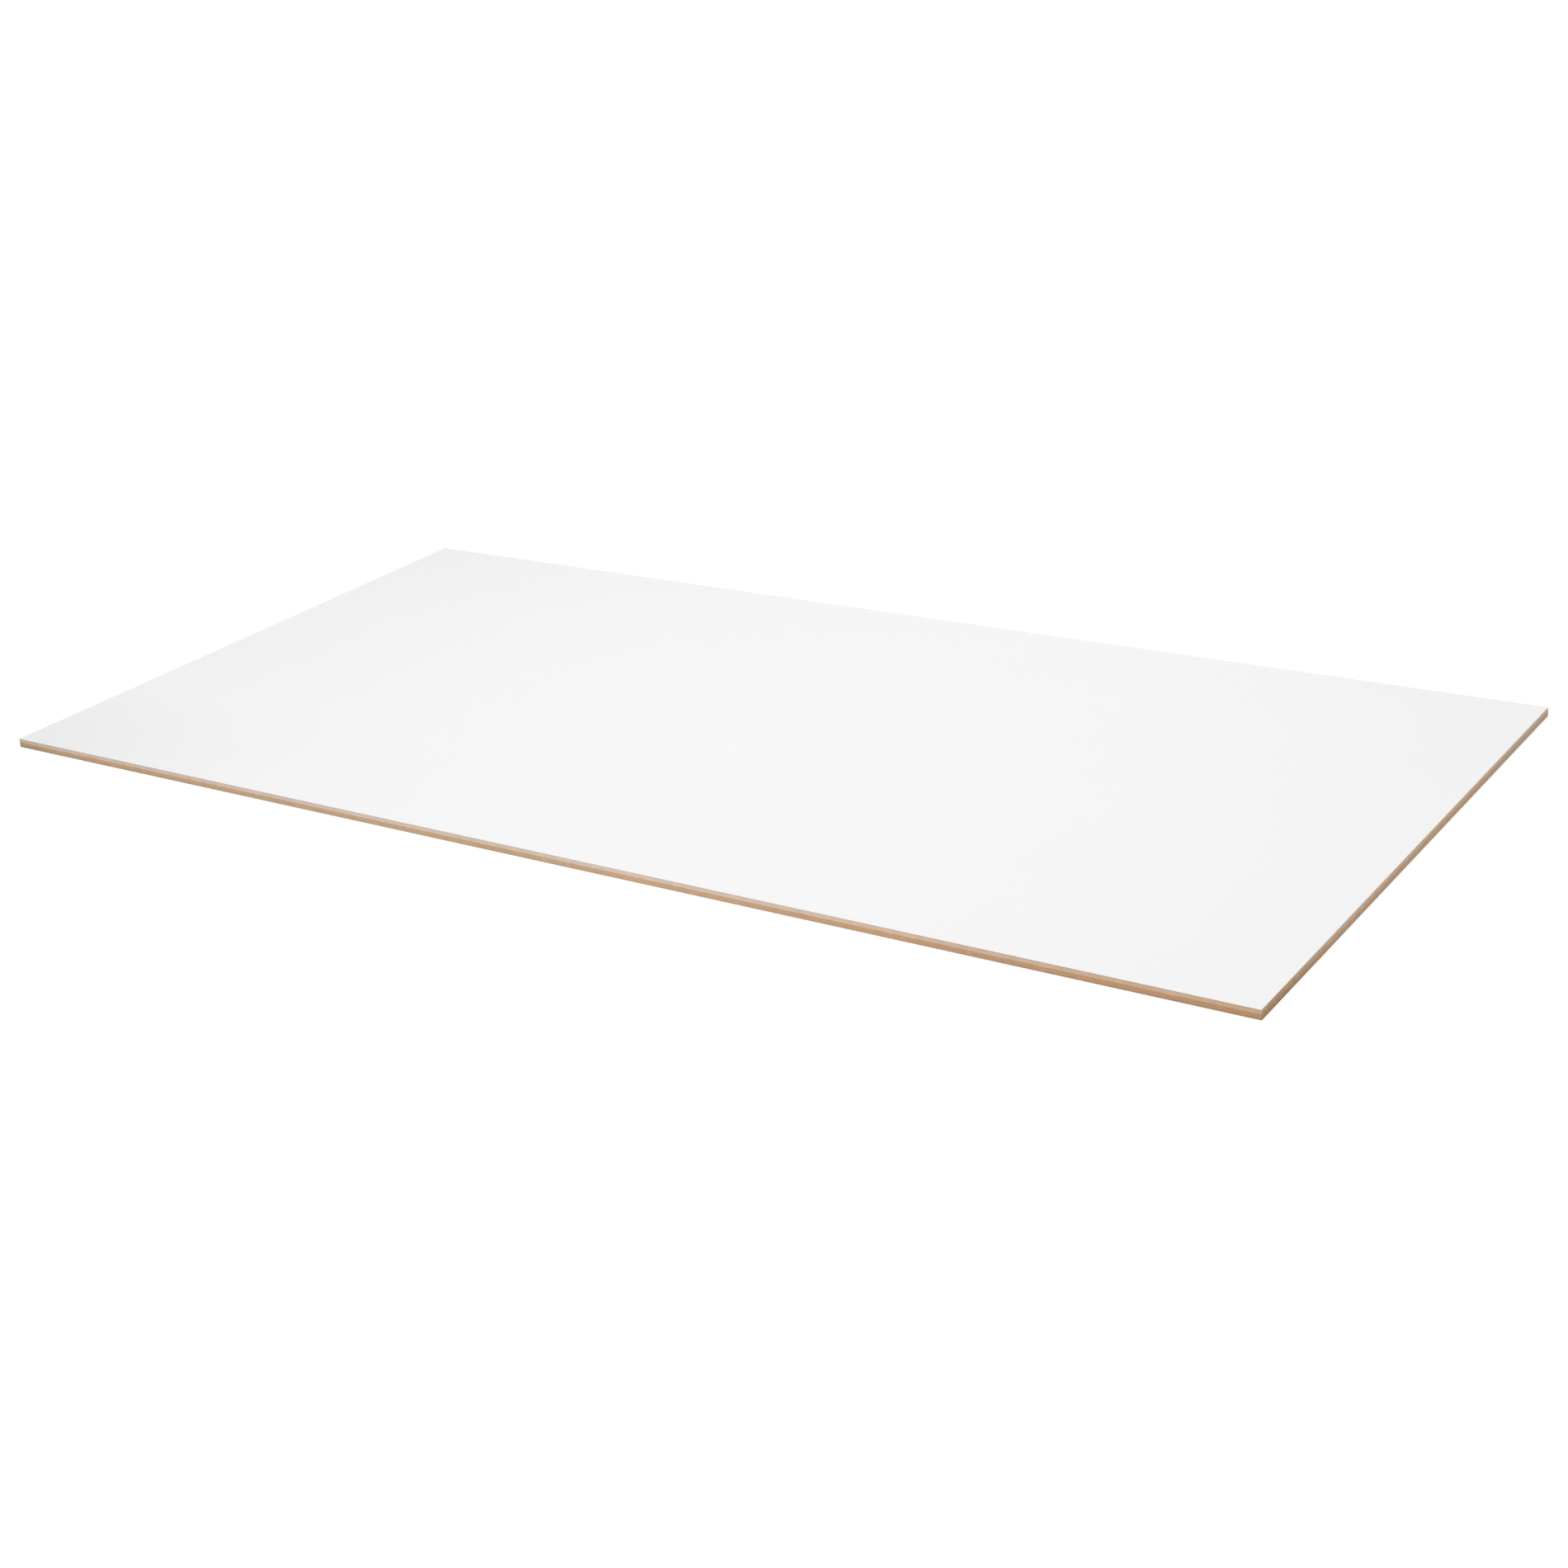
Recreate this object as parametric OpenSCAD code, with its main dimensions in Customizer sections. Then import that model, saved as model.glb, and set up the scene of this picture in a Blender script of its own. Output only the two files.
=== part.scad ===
// White-faced medium density fibreboard panel
//
// One flat rectangular panel of fibreboard, with a thin white face bonded to
// its top, a bare underside and square sawn edges. The edges are sawn in two
// passes, as a panel saw does it: a shallow scoring cut first, which leaves
// the top band of each edge a hair behind the rest, and then the main cut.
//
// The panel lies flat. The origin is the centre of its underside, with X
// along its length, Y across its width and Z up through its thickness.

/* [Panel] */
// Length of the panel
panel_length = 1220; // [300:10:2440]
// Width of the panel
panel_width = 610; // [200:10:1220]
// Thickness of the panel, with its white face
panel_thickness = 8; // [6:0.5:30]

/* [White face] */
// Thickness of the white face
face_thickness = 0.15; // [0.1:0.05:0.8]

/* [Sawn edges] */
// Depth of the scored band, down from the top of the panel
score_depth = 3.6; // [1:0.1:5]
// How far the scored band stands back from the main cut
score_step = 0.1; // [0.05:0.05:0.3]

/* [Hidden] */

// Heights above the underside
score_line = panel_thickness - score_depth;
board_top = panel_thickness - face_thickness;

// The panel's outline between two heights, set back from its edges
module layer(bottom, top, set_back = 0) {
    translate([0, 0, bottom])
        linear_extrude(top - bottom)
            square([panel_length - 2 * set_back, panel_width - 2 * set_back],
                   center = true);
}

// The board itself, with the main cut below the scoring line and the scored
// band above it
module fibreboard() {
    color([0.80, 0.68, 0.56]) {
        layer(0, score_line);
        layer(score_line, board_top, score_step);
    }
}

// The white face, which the scoring cut trims flush with the band below it
module white_face() {
    color([0.96, 0.96, 0.96])
        layer(board_top, panel_thickness, score_step);
}

fibreboard();
white_face();
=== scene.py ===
import math

import bpy
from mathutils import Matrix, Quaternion, Vector


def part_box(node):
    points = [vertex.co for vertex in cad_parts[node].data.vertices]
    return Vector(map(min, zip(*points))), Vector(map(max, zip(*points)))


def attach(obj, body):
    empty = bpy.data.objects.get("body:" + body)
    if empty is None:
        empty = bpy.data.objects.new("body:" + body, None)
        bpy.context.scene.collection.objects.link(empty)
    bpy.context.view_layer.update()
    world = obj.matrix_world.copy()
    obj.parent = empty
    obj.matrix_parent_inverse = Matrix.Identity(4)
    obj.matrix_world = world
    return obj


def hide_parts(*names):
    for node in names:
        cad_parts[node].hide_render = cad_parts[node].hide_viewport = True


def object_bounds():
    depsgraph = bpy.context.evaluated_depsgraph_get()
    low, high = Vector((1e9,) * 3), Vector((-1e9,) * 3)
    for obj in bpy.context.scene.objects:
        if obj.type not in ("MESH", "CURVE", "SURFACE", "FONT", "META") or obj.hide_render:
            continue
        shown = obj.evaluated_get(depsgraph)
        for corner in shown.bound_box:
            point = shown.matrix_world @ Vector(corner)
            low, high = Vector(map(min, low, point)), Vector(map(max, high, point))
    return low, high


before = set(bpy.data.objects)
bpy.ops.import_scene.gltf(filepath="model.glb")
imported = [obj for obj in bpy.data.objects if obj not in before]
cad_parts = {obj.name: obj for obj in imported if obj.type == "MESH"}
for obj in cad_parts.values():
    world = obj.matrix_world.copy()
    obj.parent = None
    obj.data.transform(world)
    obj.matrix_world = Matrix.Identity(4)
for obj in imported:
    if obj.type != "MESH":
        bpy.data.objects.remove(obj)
cadLow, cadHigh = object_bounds()            # the whole panel, as built
boardLow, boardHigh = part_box("fibreboard")
faceLow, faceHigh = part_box("white_face")

mm = 0.001                               # a millimetre, in metres
noiseSpan = (0.35, 0.65)                 # most of a noise's values lie between these

# the board's own heights: its underside, the scoring line and its top
levels = sorted({round(corner.co.z, 6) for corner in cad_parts["fibreboard"].data.vertices})
scoreLine = levels[1]                    # where the scored band starts
scoreStep = boardHigh.x - faceHigh.x     # how far it stands back


def tone(red, green, blue):              # a screen colour, 0 to 255, as the shader wants it
    def linear(value):
        value /= 255
        return value / 12.92 if value <= 0.04045 else ((value + 0.055) / 1.055) ** 2.4
    return (linear(red), linear(green), linear(blue), 1.0)


def camel(name):                         # Base Color becomes baseColor
    return name[0].lower() + name[1:].replace(" ", "")


def connect(tree, value, socket):        # a link from a node's output, or a plain setting
    if isinstance(value, bpy.types.NodeSocket):
        tree.links.new(value, socket)
    else:
        socket.default_value = value


def addNode(tree, kind, inputs=None, **settings):
    node = tree.nodes.new(kind)
    for name, value in settings.items():
        setattr(node, name, value)
    for key, value in (inputs or {}).items():
        connect(tree, value, node.inputs[key])
    return node


def maths(tree, operation, *values):
    return addNode(tree, "ShaderNodeMath", dict(enumerate(values)), operation=operation).outputs[0]


def times(tree, *values):
    product = values[0]
    for value in values[1:]:
        product = maths(tree, "MULTIPLY", product, value)
    return product


def plus(tree, *values):
    total = values[0]
    for value in values[1:]:
        total = maths(tree, "ADD", total, value)
    return total


def minus(tree, value, less):
    return maths(tree, "SUBTRACT", value, less)


def absolute(tree, value):               # the same to either side of the middle
    return maths(tree, "ABSOLUTE", value)


def distance(tree, across, along):       # to a point this far away each way
    return maths(tree, "SQRT", plus(tree, times(tree, across, across), times(tree, along, along)))


def split(tree, vector):                 # its X, Y and Z
    return addNode(tree, "ShaderNodeSeparateXYZ", {0: vector}).outputs


def scaled(tree, vector, factor):
    return addNode(tree, "ShaderNodeVectorMath", {0: vector, "Scale": factor}, operation="SCALE").outputs[0]


def shifted(tree, place, offset):        # the same pattern, from another part of its space
    return addNode(tree, "ShaderNodeMapping", {"Vector": place, "Location": offset}).outputs[0]


def noise(tree, place, grain, detail, roughness=0.5, distortion=0.0):
    scale = maths(tree, "DIVIDE", 1.0, grain) if isinstance(grain, bpy.types.NodeSocket) else 1 / grain
    return addNode(tree, "ShaderNodeTexNoise", {
        "Vector": place, "Scale": scale, "Detail": detail, "Roughness": roughness,
        "Distortion": distortion}).outputs["Fac"]


def ramp(tree, value, low, high, toLow=0.0, toHigh=1.0, smooth=True):
    inputs = {"Value": value, "From Min": low, "From Max": high, "To Min": toLow, "To Max": toHigh}
    kind = "SMOOTHSTEP" if smooth else "LINEAR"
    return addNode(tree, "ShaderNodeMapRange", inputs, interpolation_type=kind).outputs["Result"]


def fade(tree, value, reach):            # 1 at nothing, easing to 0 at the reach
    return ramp(tree, value, 0.0, reach, 1.0, 0.0)


def blend(tree, share, first, second, how="MIX"):
    node = addNode(tree, "ShaderNodeMix", data_type="RGBA", blend_type=how)
    connect(tree, share, node.inputs[0])
    connect(tree, first, node.inputs[6])
    connect(tree, second, node.inputs[7])
    return node.outputs[2]


def tinted(tree, colour, tint, share=1.0):
    return blend(tree, share, colour, tint, how="MULTIPLY")


def bumped(tree, relief, depth):
    return addNode(tree, "ShaderNodeBump", {"Height": relief, "Strength": 1.0, "Distance": depth}).outputs[0]


def addGroup(kind, name, inputs, outputs):   # a node group, what goes into it and what comes out
    tree = bpy.data.node_groups.new(name, kind)
    for label, socket, *preset in inputs:
        made = tree.interface.new_socket(name=label, in_out="INPUT", socket_type=socket)
        if preset:
            made.default_value = preset[0]
    for label, socket in outputs:
        tree.interface.new_socket(name=label, in_out="OUTPUT", socket_type=socket)
    return tree, tree.nodes.new("NodeGroupInput").outputs, tree.nodes.new("NodeGroupOutput").inputs


def fill(tree, node, inputs):            # camelCase keywords stand for the names of a node's inputs
    for socket in node.inputs:
        if camel(socket.name) in inputs:
            connect(tree, inputs[camel(socket.name)], socket)


def useGroup(tree, group, **inputs):
    node = tree.nodes.new("ShaderNodeGroup")
    node.node_tree = group
    fill(tree, node, inputs)
    return node.outputs


def newMaterial(name):
    material = bpy.data.materials.new(name)
    material.use_nodes = True
    tree = material.node_tree
    tree.nodes.clear()
    output = tree.nodes.new("ShaderNodeOutputMaterial")
    shader = tree.nodes.new("ShaderNodeBsdfPrincipled")
    tree.links.new(shader.outputs["BSDF"], output.inputs["Surface"])
    return material, tree, shader


def objectPlace(tree):
    return addNode(tree, "ShaderNodeTexCoord").outputs["Object"]


strandMatting = {
    "lays": ((8, 0.3), (52, 0.5), (97, 0.4), (141, 0.6)),   # turn in degrees, and how wavy, of each lay
    "detail": 2.0,
    "breakUp": 0.45,                     # how much of it is fine
    "rarest": 0.68,                      # a strand shows where its noise passes this
    "coverGain": 0.14,                   # less this for full cover
    "softness": 0.08,
}


def makeStrandMat():
    # pressed wood fibres, lying every way in the plane of the board and never up through it
    tree, given, result = addGroup("ShaderNodeTree", "strand mat", [
        ("Place", "NodeSocketVector"),
        ("Strand Length", "NodeSocketFloat"),
        ("Strand Width", "NodeSocketFloat"),
        ("Cover", "NodeSocketFloat"),
    ], [("Strands", "NodeSocketFloat"), ("Bundle", "NodeSocketFloat")])
    look = strandMatting
    across = maths(tree, "DIVIDE", 1.0, given["Strand Width"])
    squeeze = addNode(tree, "ShaderNodeCombineXYZ", {
        "X": maths(tree, "DIVIDE", 1.0, given["Strand Length"]), "Y": across, "Z": across}).outputs[0]
    edge = minus(tree, look["rarest"], times(tree, given["Cover"], look["coverGain"]))
    fields = []
    for turn, bend in look["lays"]:
        turned = addNode(tree, "ShaderNodeVectorRotate", {
            "Vector": given["Place"], "Angle": math.radians(turn)}, rotation_type="Z_AXIS").outputs[0]
        laid = addNode(tree, "ShaderNodeVectorMath", {0: turned, 1: squeeze}, operation="MULTIPLY").outputs[0]
        field = noise(tree, laid, 1.0, look["detail"], roughness=look["breakUp"], distortion=bend)
        strand = ramp(tree, field, edge, plus(tree, edge, look["softness"]))
        strands = maths(tree, "MAXIMUM", strands, strand) if fields else strand
        fields.append(field)
    tree.links.new(strands, result["Strands"])
    tree.links.new(times(tree, plus(tree, *fields), 1 / len(fields)), result["Bundle"])
    return tree


def makeMottle():
    # slow drift of tone from place to place, round 1
    tree, given, result = addGroup("ShaderNodeTree", "mottle", [
        ("Place", "NodeSocketVector"),
        ("Patch", "NodeSocketFloat"),
        ("Strength", "NodeSocketFloat"),
    ], [("Tone", "NodeSocketFloat")])
    field = noise(tree, given["Place"], given["Patch"], 3.0)
    swing = times(tree, minus(tree, field, 0.5), given["Strength"])
    tree.links.new(maths(tree, "MULTIPLY_ADD", swing, 2.0, 1.0), result["Tone"])
    return tree


def makeRim():
    # 1 at the outline of the sheet, fading to 0 inside it
    tree, given, result = addGroup("ShaderNodeTree", "rim", [
        ("Place", "NodeSocketVector"),
        ("Half Length", "NodeSocketFloat", cadHigh.x),
        ("Half Width", "NodeSocketFloat", cadHigh.y),
        ("Reach", "NodeSocketFloat"),
    ], [("Rim", "NodeSocketFloat")])
    parts = split(tree, given["Place"])
    inX = minus(tree, given["Half Length"], absolute(tree, parts["X"]))
    inY = minus(tree, given["Half Width"], absolute(tree, parts["Y"]))
    tree.links.new(fade(tree, maths(tree, "MINIMUM", inX, inY), given["Reach"]), result["Rim"])
    return tree


strandMat, mottle, rim = makeStrandMat(), makeMottle(), makeRim()
print("shared effects ready")


def laidStrands(tree, place, length, width, cover):
    return useGroup(tree, strandMat, place=place, strandLength=length, strandWidth=width, cover=cover)


def mottled(tree, place, patch, strength):
    return useGroup(tree, mottle, place=place, patch=patch, strength=strength)["Tone"]


def bladeMarks(tree, along, height, radius, axis, pitch):
    # scallops that a blade leaves at each turn: arcs about an axis at this height, one for each pitch
    drop = minus(tree, axis, height)
    lean = maths(tree, "SQRT", minus(tree, times(tree, radius, radius), times(tree, drop, drop)))
    turns = maths(tree, "DIVIDE", plus(tree, along, lean), pitch)
    return absolute(tree, maths(tree, "SINE", times(tree, turns, math.pi)))


sawRelief = {
    "bladeRadius": 150 * mm,
    "bladeAxis": 100 * mm,               # height of the blade's axis over the underside
    "feed": 5 * mm,                      # of the main blade, for each turn
    "feedDepth": 0.016 * mm,
    "wander": 0.020 * mm,                # slow waves along the cut
    "wanderLength": 70 * mm,
    "plucked": 0.030 * mm,               # where fibres were pulled out
    "pluckedSize": 2.4 * mm,
    "pluckedFrom": 0.55,                 # fibres are gone where their noise passes this
    "pluckedWhole": 0.75,
    "ledgeSlack": 0.02 * mm,             # so that the scoring ledge itself takes no scallops
    "margin": 0.055 * mm,                # the sawn faces start this far inside the panel's true size
    "arris": 0.12 * mm,                  # the sanded lower arris
    "arrisRound": 0.3,                   # its middle ring lies at this share of its width and height
    "arrisGive": 0.2,                    # share of the relief there
    "ledgeGive": 0.4,                    # and at the scoring ledge and under the facing
    "row": 0.6 * mm,                     # height of a row of faces
    "column": 1.25 * mm,                 # and about its width
    "smooth": 50,                        # degrees, past which a corner stays sharp
}

sawnEdge = {
    "mainCut": tone(213, 180, 148),      # below the scoring line
    "bandFoot": tone(244, 221, 199),     # above it, cut cleaner and paler
    "bandTop": tone(222, 210, 205),      # greyer towards the top of the band, under the facing
    "bandBlur": 0.03 * mm,
    "shortEnds": 0.45,                   # the band is this much less pale on the two short edges
    "endStart": 0.8 * mm,                # a short edge's colours start this far from its face
    "endWhole": 0.3 * mm,
    "skin": tone(188, 158, 130),         # the dense skins of the board, top and bottom
    "skinShare": 0.22,
    "skinDepth": 1.1 * mm,
    "darkStrand": tone(150, 112, 80),
    "darkShare": 0.30,
    "darkLay": (2.2 * mm, 0.16 * mm, 0.75),      # length, width and cover of the strands
    "paleStrand": tone(232, 210, 182),
    "paleShare": 0.35,
    "paleLay": (1.4 * mm, 0.11 * mm, 0.6),
    "paleShift": (0.37, 0.21, 0.13),     # the pale ones come from another part of the pattern

    "cloud": (7 * mm, 0.13),             # patch and strength of each drift of tone
    "drift": (260 * mm, 0.10),
    "hueDrift": (180 * mm, 1.0),
    "hueShift": (2.54, 2.99, 0.53),
    "hueSpan": (0.6, 1.4),
    "warmPatch": tone(255, 250, 241),    # the board's colour drifts slowly between these two
    "coolPatch": tone(250, 252, 255),

    "warmCorner": tone(241, 227, 216),   # the panel has weathered warmer towards its front right corner
    "warmBand": tone(252, 253, 244),     # and its scored band by this much as well
    "warmCore": 0.08,                    # wholly, within this distance
    "warmReach": 0.54,
    "warmNarrowing": 3.0,                # it reaches this many times less far along the short edge
    "dullEnd": 0.93,                     # painted shade: a little darker at its left end
    "dullReach": 0.35,
    "frontHalf": 0.1,                    # handling wear, and the painted shade at the foot, show on the front half, fading out this far either side
    "wornCorner": tone(247, 246, 241),   # the two front corners have darkened with it
    "wornReach": 0.07,
    "dirtyFoot": tone(234, 240, 246),    # painted shade: the lowest stripe of the edge is darker towards those corners
    "dirtyEndFoot": tone(198, 206, 208),     # painted shade, darker still on the two short edges
    "footHeight": 2.2 * mm,
    "footReach": 0.36,

    "fuzz": 0.06 * mm,                   # height of the fibre relief
    "strandRise": 1.2,                   # shares of it
    "grainRise": 0.5,
    "paleRise": 0.35,
    "grain": 0.12 * mm,                  # size of the finest part of it
    "grainBreakUp": 0.6,
    "skinOpenness": 0.65,                # the relief is weaker near the skins and stronger in the core
    "coreOpenness": 1.15,
    "skinEnd": 0.5 * mm,
    "coreStart": 3.2 * mm,
    "scoringPitch": 2.5 * mm,            # feed of each turn of the scoring blade
    "scoringRadius": 60 * mm,
    "scoringMark": 0.25,
    "toothPitch": 1.6 * mm,              # finer marks of the main blade, between its deeper ones
    "toothMark": 0.30,
    "roughness": (0.92, 0.78),           # in the gaps, and on the strands
    "gloss": 0.25,
}


def edgeMasks(tree, place):
    # where on the sawn edge each of its colours lies
    look = sawnEdge
    parts = split(tree, place)
    height = parts["Z"]
    fromSkin = maths(tree, "MINIMUM", minus(tree, boardHigh.z, height), height)
    fromRight = minus(tree, boardHigh.x, parts["X"])
    fromFront = times(tree, minus(tree, parts["Y"], boardLow.y), look["warmNarrowing"])
    fromCorner = distance(tree, minus(tree, boardHigh.x, absolute(tree, parts["X"])),
                          minus(tree, boardHigh.y, absolute(tree, parts["Y"])))
    frontHalf = ramp(tree, parts["Y"], -look["frontHalf"], look["frontHalf"], 1.0, 0.0)
    footward = times(tree, fade(tree, fromCorner, look["footReach"]), frontHalf)
    return {
        "height": height,
        "fromSkin": fromSkin,
        "scored": ramp(tree, height, scoreLine - look["bandBlur"], scoreLine + look["bandBlur"]),
        "climb": ramp(tree, height, scoreLine, boardHigh.z, smooth=False),
        "skin": fade(tree, fromSkin, look["skinDepth"]),
        "shortEnd": ramp(tree, absolute(tree, parts["X"]), boardHigh.x - look["endStart"],
                         boardHigh.x - look["endWhole"]),
        "warmth": ramp(tree, plus(tree, fromRight, fromFront), look["warmCore"], look["warmReach"], 1.0, 0.0),
        "worn": times(tree, fade(tree, fromCorner, look["wornReach"]), frontHalf),
        # painted shade along the foot of the edge, towards the front corners
        "foot": times(tree, fade(tree, height, look["footHeight"]), footward),
        # painted shade, darkening the edge towards its left end
        "dulled": ramp(tree, parts["X"], boardLow.x, boardLow.x + look["dullReach"], look["dullEnd"], 1.0),
    }


def edgeColour(tree, place, masks, dark, pale):
    # the two cuts, the strands over them, then the slow drift, the weathering, and painted shade at the left
    # end and along the foot of the edge
    look = sawnEdge
    lessPale = ramp(tree, masks["shortEnd"], 0.0, 1.0, 1.0, 1.0 - look["shortEnds"])
    band = blend(tree, masks["climb"], look["bandFoot"], look["bandTop"])
    band = tinted(tree, band, look["warmBand"], masks["warmth"])
    colour = blend(tree, times(tree, masks["scored"], lessPale), look["mainCut"], band)
    colour = blend(tree, times(tree, masks["skin"], look["skinShare"]), colour, look["skin"])
    colour = blend(tree, times(tree, dark, look["darkShare"]), colour, look["darkStrand"])
    colour = blend(tree, times(tree, pale, look["paleShare"]), colour, look["paleStrand"])
    hue = mottled(tree, shifted(tree, place, look["hueShift"]), *look["hueDrift"])
    coolness = ramp(tree, hue, *look["hueSpan"], smooth=False)
    colour = tinted(tree, colour, blend(tree, coolness, look["warmPatch"], look["coolPatch"]))
    colour = tinted(tree, colour, look["warmCorner"], masks["warmth"])
    colour = tinted(tree, colour, look["wornCorner"], masks["worn"])
    # painted shade: the foot of the edge darker towards the front corners, more so on the short edges
    footShading = blend(tree, masks["shortEnd"], look["dirtyFoot"], look["dirtyEndFoot"])
    colour = tinted(tree, colour, footShading, masks["foot"])
    # the drifts of tone, times the painted shade at the left end
    shade = times(tree, mottled(tree, place, *look["cloud"]), mottled(tree, place, *look["drift"]),
                  masks["dulled"])
    return scaled(tree, colour, shade)


def edgeRelief(tree, place, masks, bundle, pale):
    look = sawnEdge
    along = addNode(tree, "ShaderNodeAttribute", attribute_name="along").outputs["Fac"]
    height = masks["height"]
    grain = noise(tree, place, look["grain"], 3.0, roughness=look["grainBreakUp"])
    fuzz = plus(tree, times(tree, bundle, look["strandRise"]), times(tree, grain, look["grainRise"]),
                times(tree, pale, look["paleRise"]))
    fuzz = times(tree, fuzz, ramp(tree, masks["fromSkin"], look["skinEnd"], look["coreStart"],
                                  look["skinOpenness"], look["coreOpenness"]))
    # the panel was sawn face down, and the scoring blade came up to the scoring line from the face's side
    scoringAxis = scoreLine + look["scoringRadius"]
    scoring = bladeMarks(tree, along, height, look["scoringRadius"], scoringAxis, look["scoringPitch"])
    teeth = bladeMarks(tree, along, height, sawRelief["bladeRadius"], sawRelief["bladeAxis"],
                       look["toothPitch"])
    marks = blend(tree, masks["scored"], times(tree, teeth, look["toothMark"]),
                  times(tree, scoring, look["scoringMark"]))
    return bumped(tree, plus(tree, fuzz, marks), look["fuzz"])


def makeSawnEdge():
    material, tree, shader = newMaterial("sawn fibreboard edge")
    look = sawnEdge
    place = objectPlace(tree)
    dark = laidStrands(tree, place, *look["darkLay"])
    pale = laidStrands(tree, shifted(tree, place, look["paleShift"]), *look["paleLay"])["Strands"]
    masks = edgeMasks(tree, place)
    fill(tree, shader, {
        "baseColor": edgeColour(tree, place, masks, dark["Strands"], pale),
        "roughness": ramp(tree, dark["Bundle"], *noiseSpan, *look["roughness"]),
        "normal": edgeRelief(tree, place, masks, dark["Bundle"], pale),
        "specularIORLevel": look["gloss"]})
    return material


sandedBack = {
    "ground": tone(203, 172, 139),
    "darkStrand": tone(158, 122, 90),
    "darkShare": 0.28,
    "darkLay": (4.5 * mm, 0.35 * mm, 0.55),      # length, width and cover of the strands
    "paleStrand": tone(226, 202, 172),
    "paleShare": 0.25,
    "paleLay": (2.5 * mm, 0.2 * mm, 0.6),
    "paleShift": (0.11, 0.53, 0.29),
    "cloud": (14 * mm, 0.07),            # patch and strength of each drift of tone
    "drift": (180 * mm, 0.06),
    "rimReach": 3 * mm,
    "rimWear": 0.08,                     # darker by this share at the rim
    "scratchLength": 60 * mm,            # left by the sanding belt, along the board
    "scratchWidth": 0.25 * mm,
    "relief": 0.02 * mm,
    "strandRise": 0.8,                   # shares of the relief
    "scratchRise": 0.6,
    "roughness": (0.66, 0.78),
    "gloss": 0.35,
}


def makeSandedBack():
    material, tree, shader = newMaterial("sanded fibreboard")
    look = sandedBack
    place = objectPlace(tree)
    dark = laidStrands(tree, place, *look["darkLay"])
    pale = laidStrands(tree, shifted(tree, place, look["paleShift"]), *look["paleLay"])["Strands"]
    strands = times(tree, dark["Strands"], look["darkShare"])
    colour = blend(tree, strands, look["ground"], look["darkStrand"])
    colour = blend(tree, times(tree, pale, look["paleShare"]), colour, look["paleStrand"])
    worn = useGroup(tree, rim, place=place, reach=look["rimReach"])["Rim"]
    shade = times(tree, mottled(tree, place, *look["cloud"]), mottled(tree, place, *look["drift"]),
                  minus(tree, 1.0, times(tree, worn, look["rimWear"])))
    stretched = addNode(tree, "ShaderNodeMapping", {
        "Vector": place, "Scale": (1 / look["scratchLength"], 1 / look["scratchWidth"], 1.0)}).outputs[0]
    scratches = noise(tree, stretched, 1.0, 3.0)
    relief = plus(tree, times(tree, dark["Bundle"], look["strandRise"]),
                  times(tree, scratches, look["scratchRise"]))
    fill(tree, shader, {
        "baseColor": scaled(tree, colour, shade),
        "roughness": ramp(tree, scratches, *noiseSpan, *look["roughness"]),
        "normal": bumped(tree, relief, look["relief"]),
        "specularIORLevel": look["gloss"]})
    return material


whiteFacing = {
    "white": tone(245, 245, 245),
    "rimWhite": tone(230, 229, 227),     # painted shade: the facing a little darker along its rim
    "rimShare": 0.12,
    "rimReach": 2.2 * mm,
    "smudge": tone(249, 249, 249),       # painted shade: tint that darkens the front left corner a little
    "smudgeReach": 0.17,
    "smudgeStretch": 0.5,                # it reaches twice as far along the long edge
    "cloud": (120 * mm, 0.008),          # patch and strength of each drift of tone
    "speck": (4 * mm, 0.006),
    "pearl": 0.8 * mm,                   # grain of the pearl finish
    "pearlBreakUp": 0.35,
    "pearlDepth": 0.014 * mm,
    "fineGrain": 0.22 * mm,
    "fineRise": 0.3,                     # its share of the relief
    "grainSpan": (0.3, 0.7),
    "roughness": (0.42, 0.50),
    "gloss": 0.5,
}


def makeWhiteFacing():
    material, tree, shader = newMaterial("white facing")
    look = whiteFacing
    place = objectPlace(tree)
    # painted shade along the rim of the facing
    edge = useGroup(tree, rim, place=place, halfLength=faceHigh.x, halfWidth=faceHigh.y,
                    reach=look["rimReach"])["Rim"]
    colour = blend(tree, times(tree, edge, look["rimShare"]), look["white"], look["rimWhite"])
    parts = split(tree, place)
    # painted shade at the front left corner of the facing
    fromLeft = times(tree, plus(tree, parts["X"], faceHigh.x), look["smudgeStretch"])
    fromCorner = distance(tree, fromLeft, plus(tree, parts["Y"], faceHigh.y))
    colour = tinted(tree, colour, look["smudge"], fade(tree, fromCorner, look["smudgeReach"]))
    shade = times(tree, mottled(tree, place, *look["cloud"]), mottled(tree, place, *look["speck"]))
    pearl = noise(tree, place, look["pearl"], 1.0, roughness=look["pearlBreakUp"])
    fine = noise(tree, place, look["fineGrain"], 0.0)
    relief = plus(tree, ramp(tree, pearl, *look["grainSpan"]), times(tree, fine, look["fineRise"]))
    fill(tree, shader, {
        "baseColor": scaled(tree, colour, shade),
        "roughness": ramp(tree, fine, *look["grainSpan"], *look["roughness"]),
        "normal": bumped(tree, relief, look["pearlDepth"]),
        "specularIORLevel": look["gloss"]})
    return material


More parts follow.
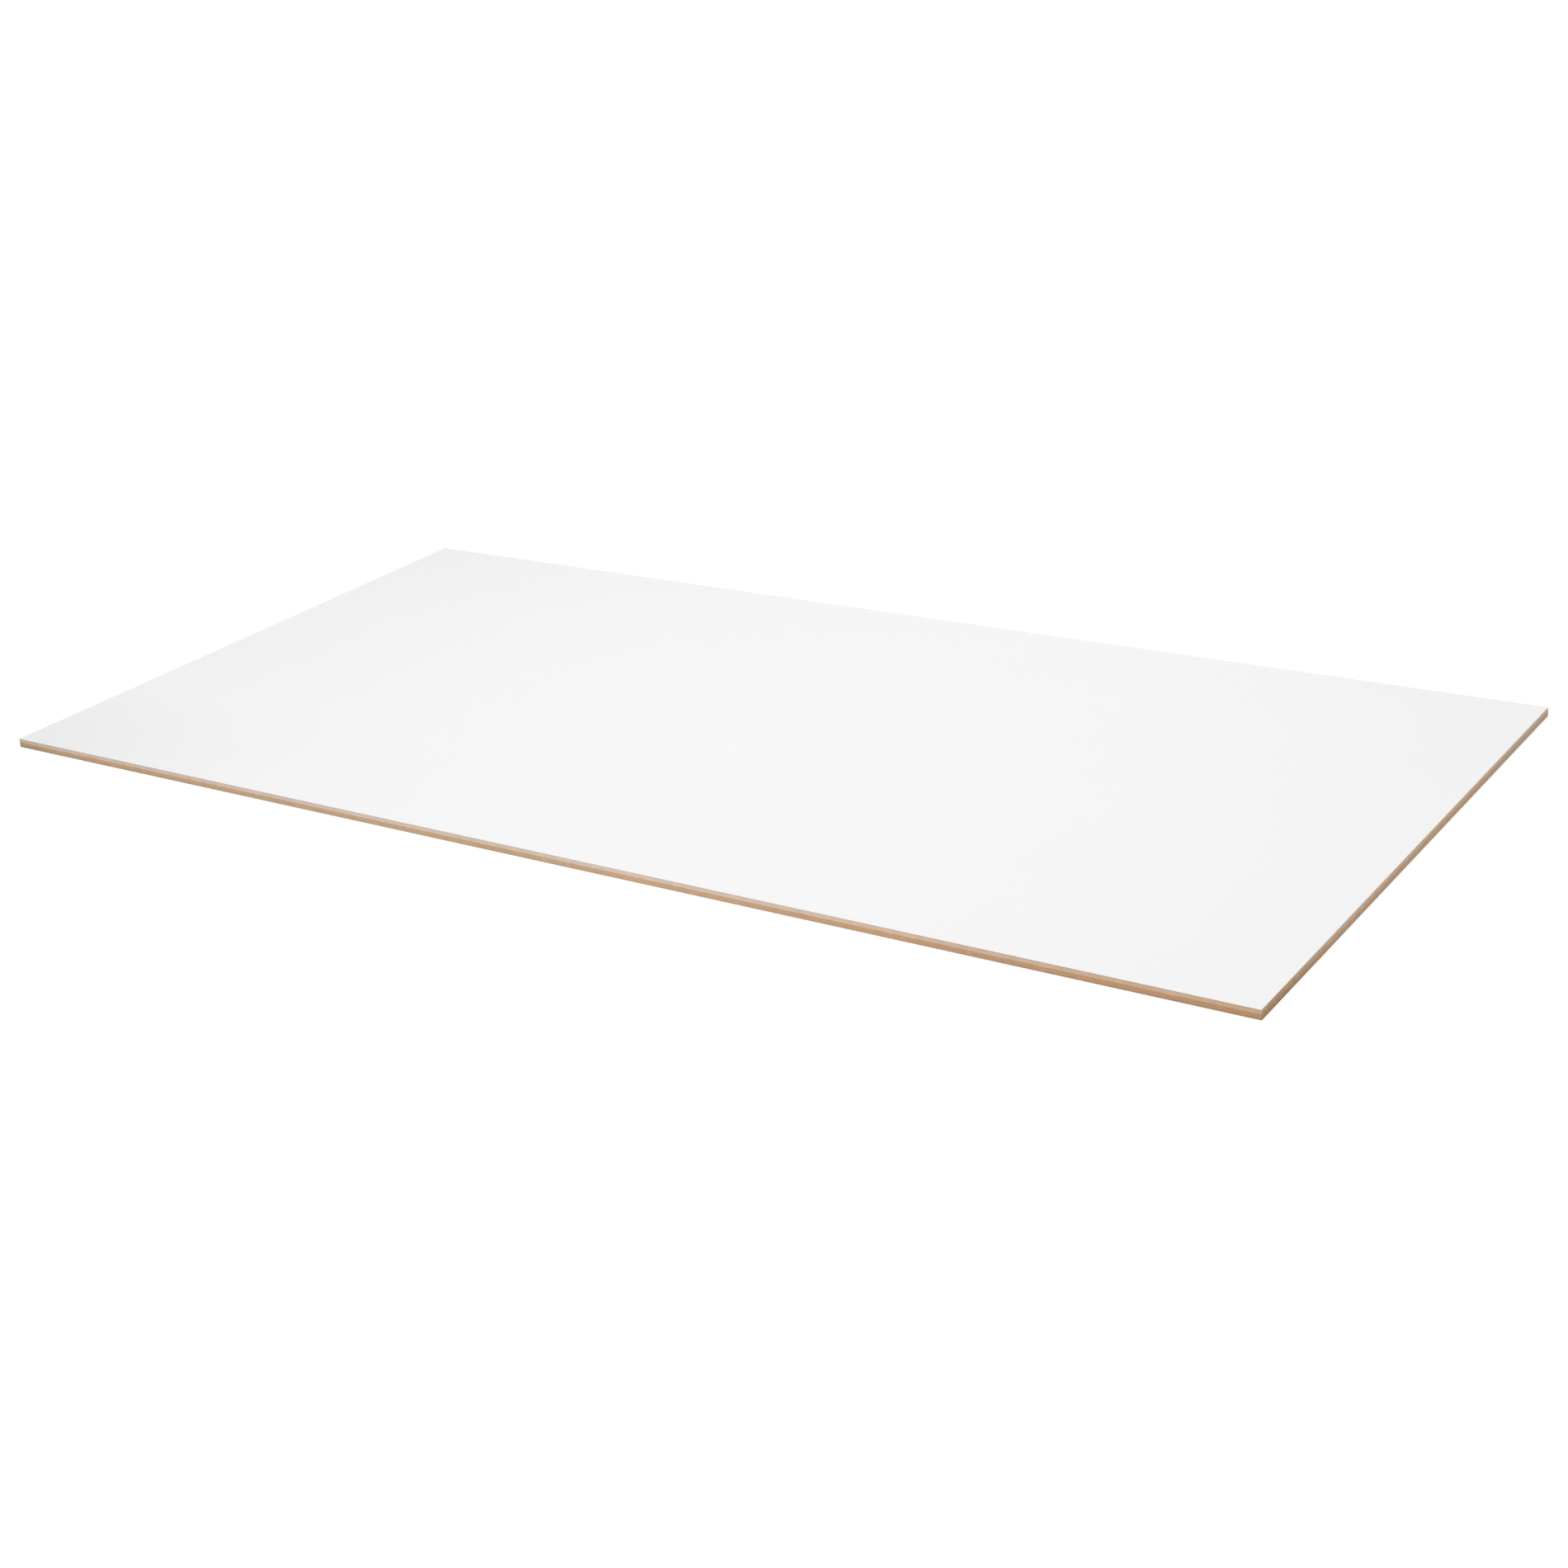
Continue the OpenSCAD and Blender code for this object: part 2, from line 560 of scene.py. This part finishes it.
looseFibres = {
    "pale": tone(238, 220, 196),
    "dark": tone(190, 154, 120),
    "roughness": 0.85,
    "gloss": 0.25,
    "density": 215000.0,                 # fibres to the square metre of sawn edge
    "shortest": 0.30 * mm,
    "longest": 1.25 * mm,
    "radius": 0.014 * mm,
    "tip": 0.35,                         # share of that radius at its two ends
    "arch": 0.022 * mm,                  # how high its middle stands off the edge
    "pull": (0.1, 0.5),                  # how far it bends: its middle is pulled along and aside, in lengths
    "lean": 0.42,                        # radians, the most that it turns from the line of the edge
    "clear": 0.5 * mm,                   # none grows this near the top and bottom of the edge
    "ledgeSlope": 0.3,                   # or on a face whose normal rises more than this, as on the ledge
    "steps": 3,                          # few faces, since there are thousands of them
    "sides": 3,
    "seed": 11,
}


def makeFibreMaterial():
    material, tree, shader = newMaterial("loose fibre")
    picked = addNode(tree, "ShaderNodeAttribute", attribute_name="fibreTone").outputs["Fac"]
    fill(tree, shader, {
        "baseColor": blend(tree, picked, looseFibres["pale"], looseFibres["dark"]),
        "roughness": looseFibres["roughness"],
        "specularIORLevel": looseFibres["gloss"]})
    return material


materials = {
    "edge": makeSawnEdge(),
    "back": makeSandedBack(),
    "facing": makeWhiteFacing(),
    "fibre": makeFibreMaterial(),
}
print("finishes ready:", ", ".join(materials))


# outline of the sheet: the number of points never changes, so rings at other insets join up
outline = {
    "cornerRadius": 0.20 * mm,
    "cornerSteps": 4,
}

# a piece's own map: its wide flat side lies lowest, the other one squeezed over it, and the edge on top
ownMap = {
    "wideSide": (0.002, 0.5),            # from this height on the map to this
    "narrowSide": (0.505, 0.525),
    "flatSpan": 0.498,                   # half the width that they take up
    "edgeFoot": 0.535,
    "edgeSpan": 0.46,
    "edgeRows": 14,                      # the edge is folded into this many rows
    "rowLeft": 0.003,
    "rowAcross": 0.99,
    "rowFill": 0.9,                      # share of a row's height that it fills
}


def makeOutline(halfLength, halfWidth, column):
    # for every point: its place, how it moves for each metre of inset, and its distance along the edge
    ease, steps = outline["cornerRadius"], outline["cornerSteps"]
    straightX, straightY = halfLength - ease, halfWidth - ease
    corners = [(-1, -1, 180), (1, -1, 270), (1, 1, 0), (-1, 1, 90)]
    spots, travelled = [], 0.0
    for number, (sideX, sideY, start) in enumerate(corners):
        for step in range(steps + 1):
            turn = math.radians(90 * step / steps)
            angle = math.radians(start) + turn
            spots.append((sideX * straightX + math.cos(angle) * ease,
                          sideY * straightY + math.sin(angle) * ease, travelled + ease * turn))
        travelled += ease * math.pi * 0.5
        nextX, nextY, nextStart = corners[(number + 1) % 4]
        outX, outY = math.cos(math.radians(nextStart)) * ease, math.sin(math.radians(nextStart)) * ease
        first = Vector((sideX * straightX + outX, sideY * straightY + outY))
        last = Vector((nextX * straightX + outX, nextY * straightY + outY))
        run = (last - first).length
        parts = max(2, round(run / column))
        for part in range(1, parts):
            at = first.lerp(last, part / parts)
            spots.append((at.x, at.y, travelled + run * part / parts))
        travelled += run
    points = []
    for x, y, along in spots:
        inward = Vector((max(-1.0, min(1.0, -x / straightX)), max(-1.0, min(1.0, -y / straightY))))
        points.append((Vector((x, y)), inward, along))
    return points, travelled


def makeSlab(name, halfLength, halfWidth, profile, column, wideSide):
    # a closed slab: a ring of the outline for each (inset, height, give) of the profile, capped at both ends
    points, total = makeOutline(halfLength, halfWidth, column)
    count = len(points)
    places, inwards, gives = [], [], []
    for inset, height, give in profile:
        for place, inward, along in points:
            places.append((place.x + inward.x * inset, place.y + inward.y * inset, height))
            inwards.extend((inward.x, inward.y, 0.0))
            gives.append(give)

    climbs = [0.0]                       # distance up the profile, for the map
    for below, above in zip(profile, profile[1:]):
        climbs.append(climbs[-1] + math.hypot(above[0] - below[0], above[1] - below[1]))
    rowLength = total / ownMap["edgeRows"]
    rowHeight = ownMap["edgeSpan"] / ownMap["edgeRows"]
    faces, alongs, spots = [], [], []

    def addFlat(side, corners):          # a flat side lies on its map as it is
        low, high = ownMap["wideSide"] if side == wideSide else ownMap["narrowSide"]
        faces.append(corners)
        for corner in corners:
            x, y = places[corner][0] / halfLength, places[corner][1] / halfWidth
            alongs.append(points[corner % count][2])
            spots.append((0.5 + ownMap["flatSpan"] * x, low + (high - low) * (0.5 + 0.5 * y)))

    def edgeSpot(along, row, climb):
        across = (along - row * rowLength) / (rowLength + 2 * column)
        up = row + ownMap["rowFill"] * climb / climbs[-1]
        return (ownMap["rowLeft"] + ownMap["rowAcross"] * across, ownMap["edgeFoot"] + rowHeight * up)

    addFlat("under", tuple(reversed(range(count))))
    for level in range(len(profile) - 1):
        low, high = level * count, (level + 1) * count
        for spot in range(count):
            after = (spot + 1) % count
            faces.append((low + spot, low + after, high + after, high + spot))
            here, there = points[spot][2], points[after][2] if after else total
            row = min(ownMap["edgeRows"] - 1, int(here / rowLength))
            alongs.extend((here, there, there, here))
            spots.extend((edgeSpot(here, row, climbs[level]), edgeSpot(there, row, climbs[level]),
                          edgeSpot(there, row, climbs[level + 1]), edgeSpot(here, row, climbs[level + 1])))
    addFlat("top", tuple(range((len(profile) - 1) * count, len(profile) * count)))

    mesh = bpy.data.meshes.new(name)
    mesh.from_pydata(places, [], faces)
    mesh.attributes.new("inward", "FLOAT_VECTOR", "POINT").data.foreach_set("vector", inwards)
    mesh.attributes.new("give", "FLOAT", "POINT").data.foreach_set("value", gives)
    mesh.attributes.new("along", "FLOAT", "CORNER").data.foreach_set("value", alongs)
    flat = mesh.attributes.new("flatSide", "BOOLEAN", "FACE")
    flat.data.foreach_set("value", [len(face) > 4 for face in faces])
    mapped = mesh.uv_layers.new(name="OFBake")
    mapped.uv.foreach_set("vector", [number for spot in spots for number in spot])
    return mesh


def settle(name, mesh, tree, sharpPast=None, **inputs):
    # runs the tree on the mesh and keeps the result as a plain piece; the inputs go in by socket identifier
    source = bpy.data.objects.new(name + "_source", mesh)
    bpy.context.collection.objects.link(source)
    modifier = source.modifiers.new(tree.name, "NODES")
    modifier.node_group = tree
    for item in tree.interface.items_tree:
        if item.in_out == "INPUT" and camel(item.name) in inputs:
            modifier[item.identifier] = inputs[camel(item.name)]
    bpy.context.view_layer.update()
    ready = source.evaluated_get(bpy.context.evaluated_depsgraph_get())
    finished = bpy.data.meshes.new_from_object(ready)
    finished.name = name
    bpy.data.objects.remove(source)
    if sharpPast:
        finished.shade_smooth()
        finished.set_sharp_from_angle(angle=math.radians(sharpPast))
    piece = bpy.data.objects.new(name, finished)
    bpy.context.collection.objects.link(piece)
    print(name.replace("_", " ") + ":", len(finished.polygons), "faces")
    return piece


def namedValue(tree, name, kind="FLOAT"):
    node = addNode(tree, "GeometryNodeInputNamedAttribute", {"Name": name}, data_type=kind)
    return node.outputs["Attribute"]


def pushedIn(tree, geometry, depth):     # moves the surface inwards, by as much as each ring gives
    push = times(tree, depth, namedValue(tree, "give"))
    shift = scaled(tree, namedValue(tree, "inward", "FLOAT_VECTOR"), push)
    return addNode(tree, "GeometryNodeSetPosition", {"Geometry": geometry, "Offset": shift}).outputs[0]


def givenFinish(tree, geometry, finish, **choice):
    return addNode(tree, "GeometryNodeSetMaterial", {
        "Geometry": geometry, "Material": finish, **choice}).outputs[0]


def realized(tree, geometry):
    return addNode(tree, "GeometryNodeRealizeInstances", {0: geometry}).outputs[0]


def numbers(*labels):                    # inputs of a tree, for its sizes
    return [(label, "NodeSocketFloat") for label in labels]


def makeSawTree():
    # the panel saw's marks on the edge: scallops at each turn of the blade, slow waves and plucked fibres
    tree, given, result = addGroup("GeometryNodeTree", "saw relief", [
        ("Geometry", "NodeSocketGeometry"),
        *numbers("Blade Radius", "Blade Axis", "Feed", "Feed Depth", "Wander", "Wander Length",
                 "Plucked", "Plucked Size", "Scored From"),
        ("Edge Finish", "NodeSocketMaterial"),
        ("Flat Finish", "NodeSocketMaterial"),
    ], [("Geometry", "NodeSocketGeometry")])
    place = addNode(tree, "GeometryNodeInputPosition").outputs[0]
    height = split(tree, place)["Z"]
    blade = bladeMarks(tree, namedValue(tree, "along"), height, given["Blade Radius"], given["Blade Axis"],
                       given["Feed"])
    mainCut = maths(tree, "LESS_THAN", height, given["Scored From"])
    scallops = times(tree, blade, mainCut, given["Feed Depth"])
    waves = times(tree, minus(tree, noise(tree, place, given["Wander Length"], 1.0), 0.5), given["Wander"])
    torn = noise(tree, place, given["Plucked Size"], 2.0)
    plucked = times(tree, ramp(tree, torn, sawRelief["pluckedFrom"], sawRelief["pluckedWhole"]),
                    given["Plucked"])
    sawn = realized(tree, pushedIn(tree, given["Geometry"], plus(tree, scallops, waves, plucked)))
    edged = givenFinish(tree, sawn, given["Edge Finish"])
    flats = namedValue(tree, "flatSide", "BOOLEAN")
    tree.links.new(givenFinish(tree, edged, given["Flat Finish"], Selection=flats), result["Geometry"])
    return tree


def boardProfile():
    # from the underside up: eased arris, main cut, scoring ledge, scored band
    look = sawRelief
    margin, arris, ledge = look["margin"], look["arris"], look["ledgeGive"]
    eased = arris * look["arrisRound"]
    rings = [(margin + arris, 0.0, 0.0), (margin + eased, eased, look["arrisGive"])]
    cut, band = scoreLine - arris, boardHigh.z - scoreLine
    rows = max(2, round(cut / look["row"]))
    for row in range(rows + 1):
        rings.append((margin, arris + cut * row / rows, 1.0 if row < rows else ledge))
    rows = max(2, round(band / look["row"]))
    for row in range(rows + 1):
        rings.append((margin + scoreStep, scoreLine + band * row / rows, 1.0 if 0 < row < rows else ledge))
    return rings


boardMesh = makeSlab("fibreboard_sheet", boardHigh.x, boardHigh.y, boardProfile(), sawRelief["column"],
                     wideSide="under")
board = settle("fibreboard_sheet", boardMesh, makeSawTree(), sharpPast=sawRelief["smooth"],
               scoredFrom=scoreLine - sawRelief["ledgeSlack"],
               edgeFinish=materials["edge"], flatFinish=materials["back"], **sawRelief)


facingRim = {
    "chipDepth": 0.30 * mm,
    "chipLength": 1.4 * mm,
    "chipFrom": 0.58,                    # a chip starts where its noise passes this
    "chipWhole": 0.74,
    "stretch": 1 / 14,                   # stretches of the rim about this long are chipped more than others
    "stretchSpan": (0.42, 0.62),
    "leastChips": 0.15,                  # share of the chips' depth between them
    "column": 0.6 * mm,                  # width of a column of faces, close enough for the chips
    "smooth": 40,
    "rings": [                           # inset, height and share of the chips' depth, from the glue line up
        (0.03 * mm, faceLow.z, 0.6),
        (0.01 * mm, faceLow.z + 0.05 * mm, 1.0),
        (0.01 * mm, faceHigh.z - 0.04 * mm, 1.0),
        (0.05 * mm, faceHigh.z, 0.9),
        (0.80 * mm, faceHigh.z, 0.0),
    ],
}


def makeChipTree():
    # small chips that the saw left along the rim of the facing
    tree, given, result = addGroup("GeometryNodeTree", "saw chips", [
        ("Geometry", "NodeSocketGeometry"),
        *numbers("Chip Depth", "Chip Length"),
        ("Finish", "NodeSocketMaterial"),
    ], [("Geometry", "NodeSocketGeometry")])
    look = facingRim
    place = addNode(tree, "GeometryNodeInputPosition").outputs[0]
    chips = ramp(tree, noise(tree, place, given["Chip Length"], 2.0), look["chipFrom"], look["chipWhole"])
    patch = noise(tree, place, look["stretch"], 1.0)
    worse = ramp(tree, patch, *look["stretchSpan"], look["leastChips"], 1.0)
    chipped = pushedIn(tree, given["Geometry"], times(tree, chips, worse, given["Chip Depth"]))
    tree.links.new(givenFinish(tree, realized(tree, chipped), given["Finish"]), result["Geometry"])
    return tree


facingMesh = makeSlab("white_facing", faceHigh.x, faceHigh.y, facingRim["rings"], facingRim["column"],
                      wideSide="top")
facing = settle("white_facing", facingMesh, makeChipTree(), sharpPast=facingRim["smooth"],
                finish=materials["facing"], **facingRim)


def randomBetween(tree, low, high, seed):
    return addNode(tree, "FunctionNodeRandomValue", {2: low, 3: high, "Seed": seed},
                   data_type="FLOAT").outputs[1]


def keptPoints(tree, given, points, normal):
    # a fibre may not reach past the corners or over the top and bottom of the edge
    parts = split(tree, addNode(tree, "GeometryNodeInputPosition").outputs[0])
    insideX = maths(tree, "LESS_THAN", absolute(tree, parts["X"]),
                    minus(tree, given["Half Length"], given["Longest"]))
    insideY = maths(tree, "LESS_THAN", absolute(tree, parts["Y"]),
                    minus(tree, given["Half Width"], given["Longest"]))
    atCorner = maths(tree, "LESS_THAN", plus(tree, insideX, insideY), 0.5)
    over = maths(tree, "GREATER_THAN", parts["Z"], given["Highest"])
    under = maths(tree, "LESS_THAN", parts["Z"], given["Lowest"])
    onLedge = maths(tree, "GREATER_THAN", absolute(tree, split(tree, normal)["Z"]), looseFibres["ledgeSlope"])
    dropped = maths(tree, "GREATER_THAN", plus(tree, over, under, atCorner, onLedge), 0.5)
    return addNode(tree, "GeometryNodeDeleteGeometry", {
        "Geometry": points, "Selection": dropped}, domain="POINT").outputs[0]


def makeFibreTree():
    # short bent fibres standing loose on the sawn edge
    tree, given, result = addGroup("GeometryNodeTree", "loose fibres", [
        ("Geometry", "NodeSocketGeometry"),
        *numbers("Density", "Shortest", "Longest", "Radius", "Arch", "Lowest", "Highest",
                 "Half Length", "Half Width"),
        ("Seed", "NodeSocketInt"),
        ("Finish", "NodeSocketMaterial"),
    ], [("Geometry", "NodeSocketGeometry")])
    look, seed = looseFibres, given["Seed"]
    onEdge = addNode(tree, "FunctionNodeBooleanMath", {0: namedValue(tree, "flatSide", "BOOLEAN")},
                     operation="NOT").outputs[0]
    scattered = addNode(tree, "GeometryNodeDistributePointsOnFaces", {
        "Mesh": given["Geometry"], "Density": given["Density"], "Seed": seed, "Selection": onEdge},
        distribute_method="RANDOM").outputs
    normal = scattered["Normal"]
    kept = keptPoints(tree, given, scattered["Points"], normal)

    # each fibre is a short curve, laid along the edge with a random lean, then given its thickness
    pullAlong, pullAcross = look["pull"]
    middle = addNode(tree, "ShaderNodeCombineXYZ", {
        "X": pullAlong, "Y": pullAcross, "Z": times(tree, given["Arch"], 2.0)}).outputs[0]
    bow = addNode(tree, "GeometryNodeCurveQuadraticBezier", {
        "Resolution": look["steps"], "Start": (-0.5, 0.0, 0.0), "Middle": middle,
        "End": (0.5, 0.0, 0.0)}).outputs[0]
    ahead = addNode(tree, "ShaderNodeVectorMath", {0: (0.0, 0.0, 1.0), 1: normal},
                    operation="CROSS_PRODUCT").outputs[0]
    upright = addNode(tree, "FunctionNodeAxesToRotation", {"Primary Axis": normal, "Secondary Axis": ahead},
                      primary_axis="Z", secondary_axis="X").outputs[0]
    lean = addNode(tree, "FunctionNodeRandomValue", {
        "Min": (0.0, 0.0, -look["lean"]), "Max": (0.0, 0.0, look["lean"]), "Seed": seed},
        data_type="FLOAT_VECTOR").outputs["Value"]
    leant = addNode(tree, "FunctionNodeRotateRotation", {"Rotation": upright, "Rotate By": lean},
                    rotation_space="LOCAL").outputs[0]
    span = randomBetween(tree, given["Shortest"], given["Longest"], plus(tree, seed, 1.0))
    bend = randomBetween(tree, -1.0, 1.0, plus(tree, seed, 3.0))
    stretch = addNode(tree, "ShaderNodeCombineXYZ", {
        "X": span, "Y": times(tree, span, bend), "Z": 1.0}).outputs[0]
    laid = realized(tree, addNode(tree, "GeometryNodeInstanceOnPoints", {
        "Points": kept, "Instance": bow, "Rotation": leant, "Scale": stretch}).outputs[0])
    picked = randomBetween(tree, 0.0, 1.0, plus(tree, seed, 2.0))
    toned = addNode(tree, "GeometryNodeStoreNamedAttribute", {
        "Geometry": laid, "Name": "fibreTone", "Value": picked},
        data_type="FLOAT", domain="CURVE").outputs[0]
    share = addNode(tree, "GeometryNodeSplineParameter").outputs["Factor"]
    taper = ramp(tree, absolute(tree, minus(tree, share, 0.5)), 0.0, 0.5, 1.0, look["tip"])
    tapered = addNode(tree, "GeometryNodeSetCurveRadius", {"Curve": toned, "Radius": taper}).outputs[0]
    ring = addNode(tree, "GeometryNodeCurvePrimitiveCircle", {
        "Resolution": look["sides"], "Radius": given["Radius"]}).outputs[0]
    solid = addNode(tree, "GeometryNodeCurveToMesh", {
        "Curve": tapered, "Profile Curve": ring, "Fill Caps": True}).outputs[0]
    tree.links.new(givenFinish(tree, realized(tree, solid), given["Finish"]), result["Geometry"])
    return tree


fibres = settle("loose_fibres", board.data.copy(), makeFibreTree(), lowest=looseFibres["clear"],
                highest=boardHigh.z - looseFibres["clear"], halfLength=boardHigh.x,
                halfWidth=boardHigh.y, finish=materials["fibre"], **looseFibres)


# the panel lies flat on a pale floor, seen from its front right corner
stage = {
    "floorSize": 14.0,
    "floorGap": 0.02 * mm,               # it lies this far under the panel
    "floorWhite": 0.80,
    "floorGrain": (0.4, 0.01),           # patch and strength of its drift of tone
    "floorRoughness": 0.95,
    "floorLift": 0.52,                   # glow that makes the floor by the panel read as plain white
    "floorFade": (0.25, 1.2),            # over this distance from the panel it becomes white altogether
    "skyStrength": 0.45,                 # of the world as a light; seen itself it is white
    "cameraPlace": (1.22519, -1.75286, 0.83968),
    "cameraAim": (0.08801, -0.09035, 0.0),
    "cameraRoll": -4.0357,
    "lens": 59.5495,
}

lamps = {
    # name: place, aim, size, power
    "key": ((-0.04, 0.15, 2.2), (-0.04, 0.15, 0.0), 1.15, 23.9),
    "fill": ((0.80, -2.65, 0.95), (0.0, -0.2, 0.0), 1.4, 22.5),
    "side": ((2.70, -0.30, 0.80), (0.3, 0.0, 0.0), 1.2, 3.5),
}


def seenItself(tree):                    # 1 for what the camera sees, also as a reflection or through glass
    rays = addNode(tree, "ShaderNodeLightPath").outputs
    seen = maths(tree, "MAXIMUM", rays["Is Camera Ray"], rays["Is Glossy Ray"])
    return maths(tree, "MAXIMUM", seen, rays["Is Transmission Ray"])


def beyond(tree, value, half):           # how far past the side of the panel, and 0 within it
    return maths(tree, "MAXIMUM", minus(tree, absolute(tree, value), half), 0.0)


def makeFloor():
    half = stage["floorSize"] / 2
    mesh = bpy.data.meshes.new("floor")
    corners = [(-half, -half, 0), (half, -half, 0), (half, half, 0), (-half, half, 0)]
    mesh.from_pydata(corners, [], [(0, 1, 2, 3)])
    floor = bpy.data.objects.new("floor", mesh)
    bpy.context.collection.objects.link(floor)
    floor.location.z = cadLow.z - stage["floorGap"]
    material, tree, shader = newMaterial("pale floor")
    place = objectPlace(tree)
    parts = split(tree, place)
    away = distance(tree, beyond(tree, parts["X"], cadHigh.x), beyond(tree, parts["Y"], cadHigh.y))
    glow = ramp(tree, away, *stage["floorFade"], stage["floorLift"], 1.0)
    white = (stage["floorWhite"],) * 3
    fill(tree, shader, {
        "baseColor": scaled(tree, white, mottled(tree, place, *stage["floorGrain"])),
        "roughness": stage["floorRoughness"],
        "specularIORLevel": 0.0,
        "emissionColor": (1.0, 1.0, 1.0, 1.0),
        "emissionStrength": times(tree, seenItself(tree), glow)})
    mesh.materials.append(material)


def makeWorld():
    world = bpy.data.worlds.new("studio")
    world.use_nodes = True
    tree = world.node_tree
    tree.nodes.clear()
    strength = ramp(tree, seenItself(tree), 0.0, 1.0, stage["skyStrength"], 1.0, smooth=False)
    sky = addNode(tree, "ShaderNodeBackground", {"Color": (1.0, 1.0, 1.0, 1.0), "Strength": strength})
    output = tree.nodes.new("ShaderNodeOutputWorld")
    tree.links.new(sky.outputs[0], output.inputs["Surface"])
    bpy.context.scene.world = world


def makeLamp(name, place, aim, size, power):
    lamp = bpy.data.lights.new(name, "AREA")
    lamp.shape = "DISK"
    lamp.size = size
    lamp.energy = power
    holder = bpy.data.objects.new(name, lamp)
    bpy.context.collection.objects.link(holder)
    holder.location = place
    holder.rotation_euler = (Vector(aim) - Vector(place)).to_track_quat("-Z", "Y").to_euler()
    holder.visible_glossy = False        # the white face doesn't mirror the lamps


def makeCamera():
    camera = bpy.data.objects.new("camera", bpy.data.cameras.new("camera"))
    bpy.context.collection.objects.link(camera)
    camera.data.lens = stage["lens"]
    camera.data.sensor_width = 36
    camera.data.clip_start = 0.01
    camera.location = stage["cameraPlace"]
    gaze = (Vector(stage["cameraAim"]) - Vector(stage["cameraPlace"])).to_track_quat("-Z", "Y")
    camera.rotation_euler = (gaze @ Quaternion((0, 0, 1), math.radians(stage["cameraRoll"]))).to_euler()
    bpy.context.scene.camera = camera


makeFloor()
makeWorld()
for name, settings in lamps.items():
    makeLamp(name, *settings)
makeCamera()
bpy.context.scene.view_settings.view_transform = "Standard"
print("floor, lamps and camera ready")

for piece, slot in ((board, "raw_fibreboard"), (fibres, "raw_fibreboard"), (facing, "white_surface")):
    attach(piece, "root")
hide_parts("fibreboard")
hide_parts("white_face")
